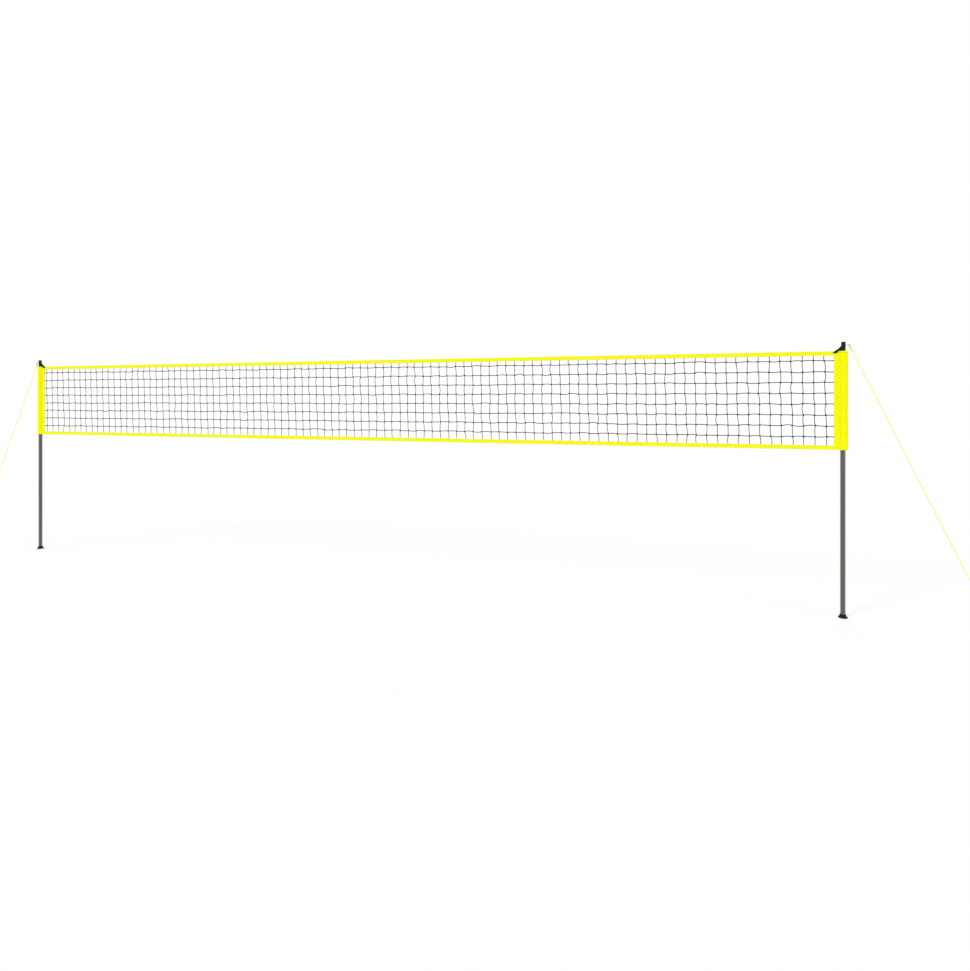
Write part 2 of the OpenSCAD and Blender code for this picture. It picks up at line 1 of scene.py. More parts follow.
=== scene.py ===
"""Portable volleyball net between two telescopic poles, dressed for the render.

Metres, in the frame's own axes: origin on the ground midway between the poles, +X along the
net, +Z up, the net in Y = 0. Each end is built once, with x outboard from its pole's axis, and
placed by its side's sign.
"""

import math

import bmesh
import bpy
import numpy as np
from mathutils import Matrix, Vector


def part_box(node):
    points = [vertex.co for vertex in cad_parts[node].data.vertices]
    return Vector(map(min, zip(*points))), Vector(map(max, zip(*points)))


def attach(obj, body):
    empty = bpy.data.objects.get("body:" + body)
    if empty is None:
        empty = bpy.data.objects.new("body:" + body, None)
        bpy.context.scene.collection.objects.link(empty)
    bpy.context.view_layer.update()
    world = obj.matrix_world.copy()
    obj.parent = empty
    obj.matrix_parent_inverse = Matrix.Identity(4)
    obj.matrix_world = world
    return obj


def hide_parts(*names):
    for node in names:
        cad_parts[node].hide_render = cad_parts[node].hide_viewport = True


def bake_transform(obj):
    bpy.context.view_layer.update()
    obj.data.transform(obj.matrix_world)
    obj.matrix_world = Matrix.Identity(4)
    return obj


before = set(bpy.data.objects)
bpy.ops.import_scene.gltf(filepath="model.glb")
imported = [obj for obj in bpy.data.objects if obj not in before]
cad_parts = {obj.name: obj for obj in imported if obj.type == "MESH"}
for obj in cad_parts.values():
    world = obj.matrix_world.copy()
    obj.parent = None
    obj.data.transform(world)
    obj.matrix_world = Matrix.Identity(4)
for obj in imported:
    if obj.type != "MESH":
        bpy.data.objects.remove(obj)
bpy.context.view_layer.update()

MM = 0.001
TAU = 2 * math.pi
SIDES = {"left": -1, "right": 1}


def new_object(name, data):
    obj = bpy.data.objects.new(name, data)
    bpy.context.scene.collection.objects.link(obj)
    return obj


# -------- camera

IMAGE_WIDTH, IMAGE_HEIGHT = 970, 971
CAMERA_AT = (3.29, -6.48, 2.0)
CAMERA_TURN = 16.21     # degrees, to the left of straight at the net
FOCAL_PIXELS = 630
HORIZON_PIXEL = 400     # down from the picture's top


def add_camera():
    data = bpy.data.cameras.new("camera")
    data.sensor_fit = "HORIZONTAL"
    data.lens = data.sensor_width * FOCAL_PIXELS / IMAGE_WIDTH
    data.shift_y = (HORIZON_PIXEL - IMAGE_HEIGHT / 2) / IMAGE_WIDTH
    camera = new_object("camera", data)
    camera.location = CAMERA_AT
    camera.rotation_euler = (math.pi / 2, 0, math.radians(CAMERA_TURN))
    bpy.context.scene.camera = camera


# -------- sizes from the frame

def low(node):
    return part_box(node)[0]


def high(node):
    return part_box(node)[1]


POLE_X = (low("right_lower_tube").x + high("right_lower_tube").x) / 2
NET_LOW, NET_HIGH = low("bottom_tape").z, high("top_tape").z
NET_HEIGHT = NET_HIGH - NET_LOW
NET_END = high("net_mesh").x
TAPE_END = high("top_tape").x
TAPE_HALF = high("top_tape").y
TAPE_HEIGHT = NET_HIGH - low("top_tape").z
SLEEVE_IN = POLE_X - low("right_sleeve").x
SLEEVE_OUT = high("right_sleeve").x - POLE_X
SLEEVE_R = high("right_sleeve").y


# -------- mesh helpers

SAME_POINT = 0.005 * MM         # points of a plate nearer than this are one
CLOTH_PLACE = "cloth_place"     # attribute with each point's place on the flat cloth


def unit(v):
    return v / np.linalg.norm(v, axis=-1, keepdims=True)


def run_along(path):
    """Distance from the path's start to each of its points."""
    steps = np.linalg.norm(np.diff(path, axis=0), axis=1)
    return np.concatenate([[0.0], np.cumsum(steps)])


def finely(route, step, rounding=2):
    """The route with points a step apart, its corners rounded a little and its ends kept."""
    route = np.array(route, float)
    run = run_along(route)
    at = np.linspace(0, run[-1], int(round(run[-1] / step)) + 1)
    path = np.stack([np.interp(at, run, route[:, k]) for k in range(3)], axis=1)
    for _ in range(rounding):
        path[1:-1] = (path[:-2] + 2 * path[1:-1] + path[2:]) / 4
    return path


def grid_faces(rows, columns, closed):
    """Quads of a grid of points, row after row. Closed joins each row's end to its start."""
    across = columns if closed else columns - 1
    r, c = np.meshgrid(np.arange(rows - 1), np.arange(across), indexing="ij")
    here, there = r * columns + c, r * columns + (c + 1) % columns
    return np.stack([here, there, there + columns, here + columns], axis=-1).reshape(-1, 4)


def sweep(path, offsets, ends=True, first=None):
    """A tube along path. offsets holds each ring's points across it, as (ring, side, 2).

    Their first number is towards the direction first, which is carried along the path."""
    along = unit(np.gradient(path, axis=0))
    across = np.zeros_like(path)
    turned = np.eye(3)[np.argmin(abs(along[0]))] if first is None else np.array(first, float)
    for i, t in enumerate(along):
        turned = unit(turned - t * (turned @ t))
        across[i] = turned
    third = np.cross(along, across)
    points = path[:, None] + offsets[..., :1] * across[:, None] + offsets[..., 1:] * third[:, None]
    rings, sides = len(path), offsets.shape[1]
    faces = [grid_faces(rings, sides, True)]
    if ends:
        last = (rings - 1) * sides
        faces += [np.arange(sides)[None, ::-1], np.arange(last, last + sides)[None]]
    return points.reshape(-1, 3), faces


def circle(sides, start=0.0):
    turn = start + TAU * np.arange(sides) / sides
    return np.stack([np.cos(turn), np.sin(turn)], axis=1)


def round_tube(path, radius, sides, ends=True):
    path = np.asarray(path, float)
    rings = np.broadcast_to(radius * circle(sides), (len(path), sides, 2))
    return sweep(path, rings, ends)


def flat_braid(path, half_width, half_thickness, sides=8):
    """A flat twine that lies in the net's plane."""
    ring = circle(sides, TAU / sides / 2) * [half_thickness, half_width]
    return sweep(path, np.broadcast_to(ring, (len(path), sides, 2)), first=(0, 1, 0))


def plate(outlines, thickness, rounding):
    """A flat plate with rounded edges: its outline first, and then the outlines of its holes.

    It lies in X and Y, with its middle at height 0."""
    curve = bpy.data.curves.new("plate", "CURVE")
    curve.dimensions, curve.fill_mode = "2D", "BOTH"
    curve.extrude = thickness / 2 - rounding
    curve.bevel_depth, curve.bevel_resolution, curve.offset = rounding, 2, -rounding
    for outline in outlines:
        spline = curve.splines.new("POLY")
        spline.points.add(len(outline) - 1)
        spline.use_cyclic_u = True
        for point, (x, y) in zip(spline.points, outline):
            point.co = (x, y, 0, 1)
    obj = new_object("plate", curve)
    made = bmesh.new()
    made.from_mesh(obj.evaluated_get(bpy.context.evaluated_depsgraph_get()).to_mesh())
    bmesh.ops.remove_doubles(made, verts=made.verts, dist=SAME_POINT)
    bmesh.ops.triangulate(made, faces=made.faces)
    bmesh.ops.recalc_face_normals(made, faces=made.faces)
    points = np.array([v.co for v in made.verts])
    faces = np.array([[v.index for v in f.verts] for f in made.faces])
    made.free()
    bpy.data.objects.remove(obj)
    return points, [faces]


def disc(x, y, radius, count=40):
    return circle(count) * radius + [x, y]


def slot_outline(reach, radius, count=24):
    """A bar's outline, round at both ends, with its round centres at reach along Y."""
    ends = circle(2 * count)[:count + 1] * radius
    return np.concatenate([ends + [0, reach], -ends - [0, reach]])


def rounded_rectangle(half_x, half_y, radius, count=8):
    """A rectangle's outline about (0, 0), with round corners."""
    corners = []
    for quarter, (x, y) in enumerate(((1, 1), (-1, 1), (-1, -1), (1, -1))):
        turn = math.pi / 2 * (quarter + np.arange(count + 1) / count)
        arc = radius * np.stack([np.cos(turn), np.sin(turn)], axis=1)
        corners.append(arc + [x * (half_x - radius), y * (half_y - radius)])
    return np.concatenate(corners)


def copies(part, places):
    """The part once for each (3x3 matrix, place)."""
    points, faces = part
    turned = np.stack([points @ m.T + p for m, p in places])
    first = np.arange(len(places))[:, None, None] * len(points)
    return turned.reshape(-1, 3), [(f[None] + first).reshape(-1, f.shape[1]) for f in faces]


def piece(name, parts, material, body=None, smooth=True, cut=None):
    """One mesh object of several (points, faces) parts, riding on a body if one is given.

    cut gives each point's place on the flat cloth, for the weave to follow."""
    points, faces, first = [], [], 0
    for part_points, part_faces in parts:
        points.append(part_points)
        for f in part_faces:
            faces += (f + first).tolist()
        first += len(part_points)
    mesh = bpy.data.meshes.new(name)
    mesh.from_pydata(np.concatenate(points).tolist(), [], faces)
    mesh.polygons.foreach_set("use_smooth", [smooth] * len(mesh.polygons))
    mesh.materials.append(material)
    if cut is not None:
        laid = mesh.attributes.new(CLOTH_PLACE, "FLOAT_VECTOR", "POINT")
        laid.data.foreach_set("vector", np.asarray(cut, float).ravel())
    obj = new_object(name, mesh)
    if body:
        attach(obj, body)
    return obj


def thicken(obj, thickness):
    solid = obj.modifiers.new("cloth thickness", "SOLIDIFY")
    solid.thickness = thickness
    solid.offset = 0
    return obj


def at_end(side, points):
    """Points given outboard from a pole's axis, placed at that side's end."""
    points = np.array(points, float)
    points[..., 0] = SIDES[side] * (POLE_X + points[..., 0])
    return points


def mirrored(side, part):
    """A part given outboard from a pole's axis, placed at that side's end, facing outwards."""
    points, faces = part
    if SIDES[side] < 0:
        faces = [f[:, ::-1] for f in faces]
    return at_end(side, points), faces


def ripple(t, waves, rng):
    """A smooth seeded wobble, from about -1 to 1, of the wavelengths given."""
    total = sum(np.sin(TAU * (t / wave + rng.random())) for wave in waves)
    return total / len(waves)


# -------- materials

WAVE_TURN = 20                  # radians that Blender's wave texture turns in one unit
NOISE_SPREAD = (0.3, 0.7)       # nearly all of a noise's values lie in here


def srgb(text):
    """A colour written as RRGGBB, in linear light."""
    values = [int(text[i:i + 2], 16) / 255 for i in (0, 2, 4)]
    linear = [v / 12.92 if v <= 0.04045 else ((v + 0.055) / 1.055) ** 2.4 for v in values]
    return (*linear, 1)


def add_node(tree, kind, inputs, **settings):
    """A new node with these settings. Each input is given a value, or a socket to follow."""
    made = tree.nodes.new(kind)
    for setting, value in settings.items():
        setattr(made, setting, value)
    for name, value in inputs.items():
        if isinstance(value, bpy.types.NodeSocket):
            tree.links.new(value, made.inputs[name])
        else:
            made.inputs[name].default_value = value
    return made


class Finish:
    """A node material: colour patches, roughness and bump, in the object's own space, or on
    the flat cloth for a woven piece."""

    def __init__(self, name, stretch=(1, 1, 1), woven=False, **shader):
        self.material = bpy.data.materials.new(name)
        self.material.use_nodes = True
        self.tree = self.material.node_tree
        self.shader = self.tree.nodes["Principled BSDF"]
        for socket, value in shader.items():
            self.shader.inputs[socket.replace("_", " ")].default_value = value
        if woven:
            source = self.node("ShaderNodeAttribute", {}, attribute_name=CLOTH_PLACE)
        else:
            source = self.node("ShaderNodeTexCoord", {})
        start = source.outputs["Vector" if woven else "Object"]
        place = self.node("ShaderNodeMapping", {"Vector": start, "Scale": stretch})
        self.space = place.outputs["Vector"]
        self.relief = None

    def node(self, kind, inputs, **settings):
        return add_node(self.tree, kind, inputs, **settings)

    def feed(self, socket, name):
        self.tree.links.new(socket, self.shader.inputs[name])
        return self

    def noise(self, size, detail=3.0, roughness=0.55):
        """Noise from 0 to 1 whose patches are about this size."""
        made = self.node("ShaderNodeTexNoise", {"Vector": self.space, "Scale": 1 / size,
                                                "Detail": detail, "Roughness": roughness})
        return made.outputs["Fac"]

    def bands(self, axis, pitch, wobble):
        """Stripes across an axis, one each pitch."""
        made = self.node("ShaderNodeTexWave",
                         {"Vector": self.space, "Scale": TAU / WAVE_TURN / pitch,
                          "Distortion": wobble, "Detail": 1.0},
                         wave_type="BANDS", bands_direction=axis)
        return made.outputs["Fac"]

    def mix(self, operation, a, b):
        return self.node("ShaderNodeMath", {0: a, 1: b}, operation=operation).outputs["Value"]

    def colour(self, factor, stops):
        """The base colour, from colours at places along the factor."""
        made = self.node("ShaderNodeValToRGB", {"Fac": factor})
        elements = made.color_ramp.elements
        while len(elements) < len(stops):
            elements.new(0.5)
        for element, (place, colour) in zip(elements, stops):
            element.position, element.color = place, srgb(colour)
        return self.feed(made.outputs["Color"], "Base Color")

    def roughness(self, factor, lowest, highest):
        start, end = NOISE_SPREAD
        made = self.node("ShaderNodeMapRange", {"Value": factor, "From Min": start,
                                                "From Max": end, "To Min": lowest,
                                                "To Max": highest})
        return self.feed(made.outputs["Result"], "Roughness")

    def bump(self, factor, depth, strength):
        """Adds relief of this depth, over what is there already."""
        made = self.node("ShaderNodeBump", {"Height": factor, "Distance": depth,
                                            "Strength": strength})
        if self.relief:
            self.tree.links.new(self.relief, made.inputs["Normal"])
        self.relief = made.outputs["Normal"]
        return self.feed(self.relief, "Normal")


def painted_steel():
    """Satin grey paint with faint streaks up the tube and small scuffs."""
    f = Finish("pole_paint", stretch=(1, 1, 0.03), Specular_IOR_Level=0.2, Coat_Weight=1.0,
               Coat_IOR=1.6, Coat_Roughness=0.25, Sheen_Weight=1.0, Sheen_Roughness=0.58,
               Sheen_Tint=srgb("eceede"))
    streaks = f.noise(2 * MM, detail=4)
    f.colour(streaks, [(0.3, "20211a"), (0.62, "272820"), (0.8, "32332b")])
    f.roughness(streaks, 0.3, 0.44)
    return f.bump(f.noise(0.8 * MM), 0.02 * MM, 0.5).material


def zinc(name, light, dark):
    """Plated steel, mottled and slightly dull."""
    f = Finish(name, Metallic=1.0)
    patches = f.noise(3 * MM, detail=5)
    f.colour(patches, [(0.3, dark), (0.7, light)])
    f.roughness(patches, 0.28, 0.46)
    return f.bump(f.noise(0.5 * MM), 0.02 * MM, 0.6).material


def black_plastic():
    """Moulded nylon with a fine spark-eroded grain."""
    f = Finish("black_plastic", Specular_IOR_Level=0.22)
    f.colour(f.noise(12 * MM, detail=4), [(0.35, "0b0b0b"), (0.7, "121211")])
    f.roughness(f.noise(4 * MM), 0.4, 0.55)
    return f.bump(f.noise(0.35 * MM, detail=1), 0.04 * MM, 0.8).material


def foot_rubber():
    """Black rubber with dusty patches."""
    f = Finish("foot_rubber", Specular_IOR_Level=0.2)
    patches = f.noise(7 * MM, detail=5)
    f.colour(patches, [(0.35, "0c0c0c"), (0.6, "121211"), (0.85, "24231f")])
    f.roughness(patches, 0.62, 0.85)
    return f.bump(f.noise(0.7 * MM), 0.08 * MM, 0.8).material


def white_nylon():
    f = Finish("white_nylon", Subsurface_Weight=0.1,
               Subsurface_Radius=(2 * MM, 2 * MM, 2 * MM))
    f.colour(f.noise(10 * MM), [(0.3, "d2d2ca"), (0.7, "dededa")])
    f.roughness(f.noise(3 * MM), 0.4, 0.55)
    return f.bump(f.noise(0.6 * MM), 0.03 * MM, 0.6).material


def cloth(name, dark, light, pitch):
    """Plain woven polyester: threads both ways, with slightly uneven dye, and shade painted into
    the colour between the threads.
    """
    f = Finish(name, woven=True, Sheen_Weight=0.15, Sheen_Roughness=0.5,
               Sheen_Tint=srgb(light), Specular_IOR_Level=0.12)
    weave = f.mix("MAXIMUM", f.bands("X", pitch, 0.6), f.bands("Y", pitch, 0.6))
    dye = f.mix("MULTIPLY", f.noise(45 * MM, detail=5), 0.6)
    # The colour mixes the real uneven dye with painted shade: the weave darkens it where the
    # threads dip between each other.
    dye_and_painted_weave_shade = f.mix("ADD", dye, f.mix("MULTIPLY", weave, 0.4))
    f.colour(dye_and_painted_weave_shade, [(0.25, dark), (0.62, light)])
    f.roughness(f.noise(5 * MM), 0.7, 0.85)
    return f.bump(weave, 0.12 * MM, 0.4).bump(f.noise(14 * MM, detail=2), 0.5 * MM, 0.3).material


def rope_fibre():
    """Bright braided polypropylene."""
    f = Finish("rope_fibre", Sheen_Weight=0.3, Sheen_Roughness=0.4, Specular_IOR_Level=0.35)
    f.colour(f.noise(2.5 * MM, detail=4), [(0.3, "e9f00c"), (0.6, "f9ff14")])
    f.roughness(f.noise(1.5 * MM), 0.5, 0.7)
    return f.bump(f.noise(0.4 * MM, detail=3), 0.1 * MM, 0.8).material


def black_twine():
    """Twisted polyethylene twine, near black, a little shiny."""
    f = Finish("black_twine", Specular_IOR_Level=0.15)
    f.colour(f.noise(4 * MM, detail=4), [(0.3, "080808"), (0.7, "111112")])
    f.roughness(f.noise(2 * MM), 0.45, 0.65)
    return f.bump(f.noise(0.5 * MM, detail=3), 0.12 * MM, 0.8).material


def sewing_thread():
    f = Finish("sewing_thread", Specular_IOR_Level=0.4)
    f.colour(f.noise(1 * MM), [(0.3, "e6e71a"), (0.7, "f6f72c")])
    f.roughness(f.noise(1 * MM), 0.45, 0.6)
    return f.bump(f.noise(0.2 * MM), 0.03 * MM, 0.7).material


PAINT = painted_steel()
ZINC = zinc("zinc_plate", "c3c5c8", "9a9da1")
SPRING = zinc("spring_steel", "a9abae", "808387")
PLASTIC = black_plastic()
RUBBER = foot_rubber()
NYLON = white_nylon()
SLEEVE_CLOTH = cloth("sleeve_cloth", "f4f302", "feff04", 0.9 * MM)
TAPE_CLOTH = cloth("tape_cloth", "efed0a", "fbfc10", 0.8 * MM)
ROPE = rope_fibre()
TWINE = black_twine()
THREAD = sewing_thread()


# -------- the frame's own solids

# The finish of each rigid solid that shows as it is, at both ends
NODE_FINISHES = {
    "foot": RUBBER, "lower_tube": PAINT, "middle_tube": PAINT, "upper_tube": PAINT,
    "spigot": ZINC, "snap_button": ZINC, "eye_bolt": ZINC, "eye_nut": ZINC, "link": ZINC,
    "lock_base": PLASTIC, "lock_collar": PLASTIC, "top_cap": PLASTIC,
    "lock_collet": NYLON, "guide_bush": NYLON,
}
# Width of the rounding on the edges of the moulded ones
SOFT_EDGES = {"top_cap": 0.8 * MM, "lock_collar": 0.5 * MM, "lock_base": 0.4 * MM}
JOIN_POINTS = 0.01 * MM     # a solid's points nearer than this are one
FLAT_ANGLE = 0.5            # degrees between faces that become one
SHARP_ANGLE = 35            # degrees between faces that get a rounded edge


def dress_nodes():
    for side in SIDES:
        for node, material in NODE_FINISHES.items():
            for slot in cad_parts[f"{side}_{node}"].material_slots:
                slot.material = material
        for node, width in SOFT_EDGES.items():
            soften_edges(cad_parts[f"{side}_{node}"], width)


def soften_edges(obj, width):
    """Rounds a moulded part's sharp edges."""
    obj.modifiers.new("weld", "WELD").merge_threshold = JOIN_POINTS
    flat = obj.modifiers.new("flat faces", "DECIMATE")
    flat.decimate_type = "DISSOLVE"
    flat.angle_limit = math.radians(FLAT_ANGLE)
    bevel = obj.modifiers.new("edges", "BEVEL")
    bevel.width, bevel.segments = width, 2
    bevel.limit_method, bevel.angle_limit = "ANGLE", math.radians(SHARP_ANGLE)


# -------- guy ropes

ROPE_D = 6 * MM
# The rope's route outboard of the pole's axis: down to the tensioner and the ground plate's
# ear, and round through its hole. The tail goes back up to the tensioner.
ROPE_ROUTE = [
    (0.079, 0, 2.445), (0.088, 0, 2.425), (0.178, -0.0015, 2.225), (0.268, -0.003, 2.025),
    (0.358, -0.0045, 1.825), (0.448, -0.006, 1.625), (0.538, -0.0075, 1.425),
    (0.628, -0.009, 1.225), (0.718, -0.0105, 1.025), (0.808, -0.012, 0.825),
    (0.898, -0.0135, 0.625), (0.988, -0.015, 0.425), (1.033, -0.015, 0.325),
    (1.078, -0.015, 0.225), (1.123, -0.015, 0.125), (1.1583, -0.015, 0.0467),
    (1.1618, -0.015, 0.0387), (1.1644, -0.013, 0.033), (1.1664, -0.0088, 0.0286),
    (1.1677, -0.0031, 0.0257), (1.1677, 0.0031, 0.0257), (1.1664, 0.0088, 0.0286),
    (1.1644, 0.013, 0.033), (1.1618, 0.015, 0.0387), (1.1583, 0.015, 0.0467),
]
TAIL_ROUTE = [(1.1583, 0.015, 0.0467), (1.123, 0.015, 0.125), (1.078, 0.015, 0.225),
              (1.06225, 0.015, 0.26)]
STILL_POINT = ROPE_ROUTE[11]    # a point low on the rope's route
ROPE_STEP = 2 * MM
SLOPE_OUT, SLOPE_DOWN = 9.0, 20.0
ROPE_UP = unit(np.array([-SLOPE_OUT, 0.0, SLOPE_DOWN]))
ROPE_ACROSS = unit(np.array([SLOPE_DOWN, 0.0, SLOPE_OUT]))
EYE = np.array([0.052, 0, 2.505])   # middle of the eye bolt's ring

BRAID_STRANDS = 4
BRAID_LAY = 28 * MM
BRAID_DEPTH = 0.176     # of the radius, from the crests to the gaps


def braided(path, radius, sides=16, lay=BRAID_LAY):
    """A rope whose skin is raised where its two sets of strands run, wound opposite ways."""
    wound = TAU * run_along(path)[:, None] / lay
    turn = TAU * np.arange(sides)[None] / sides
    one = abs(np.cos(BRAID_STRANDS / 2 * (turn + wound)))
    other = abs(np.cos(BRAID_STRANDS / 2 * (turn - wound)))
    even = 2 / math.pi
    skin = radius * (1 + BRAID_DEPTH * ((one + other) / 2 - even))
    return sweep(path, skin[..., None] * circle(sides)[None])


def along_rope(place, points):
    """Points as (across the rope, along Y, up the rope) from a place on its line."""
    across, y, up = np.moveaxis(np.asarray(points, float), -1, 0)
    up = up[..., None] * ROPE_UP
    return place + across[..., None] * ROPE_ACROSS + y[..., None] * np.array([0, 1, 0]) + up


def wrap_path(radius, start, end, turns, step=1.6 * MM):
    """A helix about the rope's line, from one height to another."""
    t = np.linspace(0, 1, int(TAU * radius * turns / step))
    turn = TAU * turns * t
    return np.stack([radius * np.cos(turn), radius * np.sin(turn), start + (end - start) * t], 1)


WRAPS_R = 6.5 * MM              # outer radius of both knots
WRAP_STRAND_R = 2.4 * MM
WRAP_TURNS = 4
WRAPS_TOP, WRAPS_FOOT = -45.8 * MM, -65.8 * MM      # up the rope's line from the eye
CORE_R = 3.4 * MM
CORE_BELOW_TOP = 2 * MM
LOOP_R = 12 * MM
LOOP_AT = -38.15 * MM           # the loop's centre, up the rope's line from the eye
LOOP_POINTS = 60
LOOP_PAST = 0.42 * math.pi      # how far each of its sides turns on below the centre
LOOP_ROUND_FROM = 0.9           # height over its foot, in radii, where it is full width
LOOP_NECK = 0.28                # share of its width that is left at its foot
LEG_APART = 3.2 * MM
LEG_TOP, LEG_FOOT = WRAPS_TOP - 4 * MM, WRAPS_TOP - 12 * MM
LOOP_LAY = 20 * MM


def top_loop():
    """The rope's line round the loop in the link, and both its legs down into the wraps."""
    turn = np.linspace(-LOOP_PAST, math.pi + LOOP_PAST, LOOP_POINTS)
    up = LOOP_R * np.sin(turn)
    width = np.clip((up + LOOP_R) / (LOOP_ROUND_FROM * LOOP_R), LOOP_NECK, 1)
    loop = np.stack([LOOP_R * np.cos(turn) * width, 0 * turn, LOOP_AT + up], 1)
    leg = np.array([[LEG_APART, 0, LEG_FOOT], [LEG_APART, 0, LEG_TOP]])
    return finely(np.concatenate([leg, loop, leg[::-1] * [-1, 1, 1]]), 1.2 * MM, rounding=6)


def top_knot(side):
    """The loop that hangs in the link, and the wraps that close it."""
    wraps = wrap_path(WRAPS_R - WRAP_STRAND_R, WRAPS_TOP - WRAP_STRAND_R,
                      WRAPS_FOOT + WRAP_STRAND_R, WRAP_TURNS)
    core = finely([(0, 0, WRAPS_FOOT), (0, 0, WRAPS_TOP - CORE_BELOW_TOP)], ROPE_STEP)
    parts = [braided(along_rope(EYE, top_loop()), ROPE_D / 2, sides=12, lay=LOOP_LAY),
             round_tube(along_rope(EYE, wraps), WRAP_STRAND_R, 8),
             round_tube(along_rope(EYE, core), CORE_R, 10)]
    name = f"{side}_top_knot_rope"
    obj = piece(name, [mirrored(side, p) for p in parts], ROPE, "net_frame")
    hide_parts(f"{side}_top_knot")
    return obj


STOPPER_STRAND_R = 2.3 * MM
STOPPER_FOOT, STOPPER_TOP = 2.4 * MM, 11.6 * MM     # up the rope's line from the tensioner
STOPPER_TURNS = 3
STUB_ROUTE = [(0, 0, 0.5 * MM), (0, 0, 12 * MM), (1 * MM, 0, 14 * MM)]


def tail_knot(side):
    """Stopper knot on the tensioner, with the rope's cut end standing out of it."""
    place = np.array(TAIL_ROUTE[-1])
    wraps = wrap_path(WRAPS_R - STOPPER_STRAND_R, STOPPER_FOOT, STOPPER_TOP, STOPPER_TURNS)
    stub = finely(STUB_ROUTE, 1.5 * MM)
    parts = [round_tube(along_rope(place, wraps), STOPPER_STRAND_R, 8),
             braided(along_rope(place, stub), ROPE_D / 2, sides=12)]
    name = f"{side}_tail_knot_rope"
    obj = piece(name, [mirrored(side, p) for p in parts], ROPE, f"{side}_tensioner")
    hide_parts(f"{side}_tail_knot")
    return obj


def guy_rope(side):
    knot, bar, anchor = top_knot(side), tensioner(side), ground_plate(side)
    path = finely(at_end(side, ROPE_ROUTE), ROPE_STEP, rounding=3)
    rope = piece(f"{side}_rope", [braided(path, ROPE_D / 2)], ROPE)
    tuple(at_end(side, STILL_POINT))
    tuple(at_end(side, ROPE_ROUTE[0]))
    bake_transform(rope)
    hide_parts(f"{side}_guy_rope")


def guy_tail(side):
    knot = tail_knot(side)
    path = finely(at_end(side, TAIL_ROUTE), ROPE_STEP)
    tail = piece(f"{side}_rope_tail", [braided(path, ROPE_D / 2)], ROPE)
    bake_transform(tail)
    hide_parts(f"{side}_guy_tail")


# -------- rope fittings and spring

TENSIONER_WIDTH = 18 * MM
TENSIONER_THICKNESS = 10 * MM
TENSIONER_EDGE = 1.2 * MM
STRAND_Y = 15 * MM
ROPE_HOLE_R = ROPE_D / 2 + 0.3 * MM
CORD_HOLE_R = STRAND_Y / 4
PLATE_THICKNESS = 3 * MM
PLATE_EDGE = 0.4 * MM
PLATE_CORNER = 6 * MM
STAKE_HOLE_R = 6.25 * MM
STAKE_INSET = 18 * MM
EAR_R = 13 * MM
EAR_HOLE_R = 7 * MM
EAR_INSET = 8 * MM
WELD_R = 1.3 * MM
SPRING_HALF = 0.4 * MM          # half the strip's thickness
SPRING_EDGE = 0.25 * MM
FITTING_STEP = 1.5 * MM


def tensioner(side):
    """Moulded bar with rounded edges: a hole for the rope, one for its tail, one for a cord."""
    r = TENSIONER_WIDTH / 2
    reach = high(f"{side}_tensioner").y - r
    holes = [disc(0, y, ROPE_HOLE_R) for y in (-STRAND_Y, STRAND_Y)]
    points, faces = plate([slot_outline(reach, r), *holes, disc(0, 0, CORD_HOLE_R)],
                          TENSIONER_THICKNESS, TENSIONER_EDGE)
    middle = np.array([TAIL_ROUTE[-1][0], 0, TAIL_ROUTE[-1][2]])
    points[:, 2] -= TENSIONER_THICKNESS / 2
    bar = along_rope(middle, points), faces
    obj = piece(f"{side}_tensioner_bar", [mirrored(side, bar)], PLASTIC, f"{side}_tensioner",
                smooth=False)
    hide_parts(f"{side}_tensioner")
    return obj


def ear_and_welds(middle_x, top_z):
    """The upright ear with the rope's hole, and a weld bead along each of its faces."""
    middle_z = top_z - EAR_R
    foot_z = PLATE_THICKNESS / 2 - middle_z
    outline = np.concatenate([circle(64)[:33] * EAR_R, [(-EAR_R, foot_z), (EAR_R, foot_z)]])
    flat, faces = plate([outline, disc(0, 0, EAR_HOLE_R)], PLATE_THICKNESS, PLATE_EDGE)
    parts = [(np.stack([flat[:, 0] + middle_x, -flat[:, 2], flat[:, 1] + middle_z], 1), faces)]
    for y in (-PLATE_THICKNESS / 2, PLATE_THICKNESS / 2):
        ends = [(x, y, PLATE_THICKNESS) for x in (middle_x - EAR_R, middle_x + EAR_R)]
        parts.append(round_tube(finely(ends, FITTING_STEP), WELD_R, 8))
    return parts


def ground_plate(side):
    """Zinc-plated plate with its stake hole, and an ear welded on for the rope."""
    node = f"{side}_ground_plate"
    start, end = sorted(abs(x) - POLE_X for x in (low(node).x, high(node).x))
    outline = rounded_rectangle((end - start) / 2, high(node).y, PLATE_CORNER)
    outline += [(start + end) / 2, 0]
    points, faces = plate([outline, disc(end - STAKE_INSET, 0, STAKE_HOLE_R)],
                          PLATE_THICKNESS, PLATE_EDGE)
    points[:, 2] += PLATE_THICKNESS / 2
    parts = [(points, faces), *ear_and_welds(start + EAR_INSET + EAR_R, high(node).z)]
    obj = piece(f"{side}_ground_anchor", [mirrored(side, p) for p in parts], ZINC,
                f"{side}_pole", smooth=False)
    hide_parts(node)
    return obj


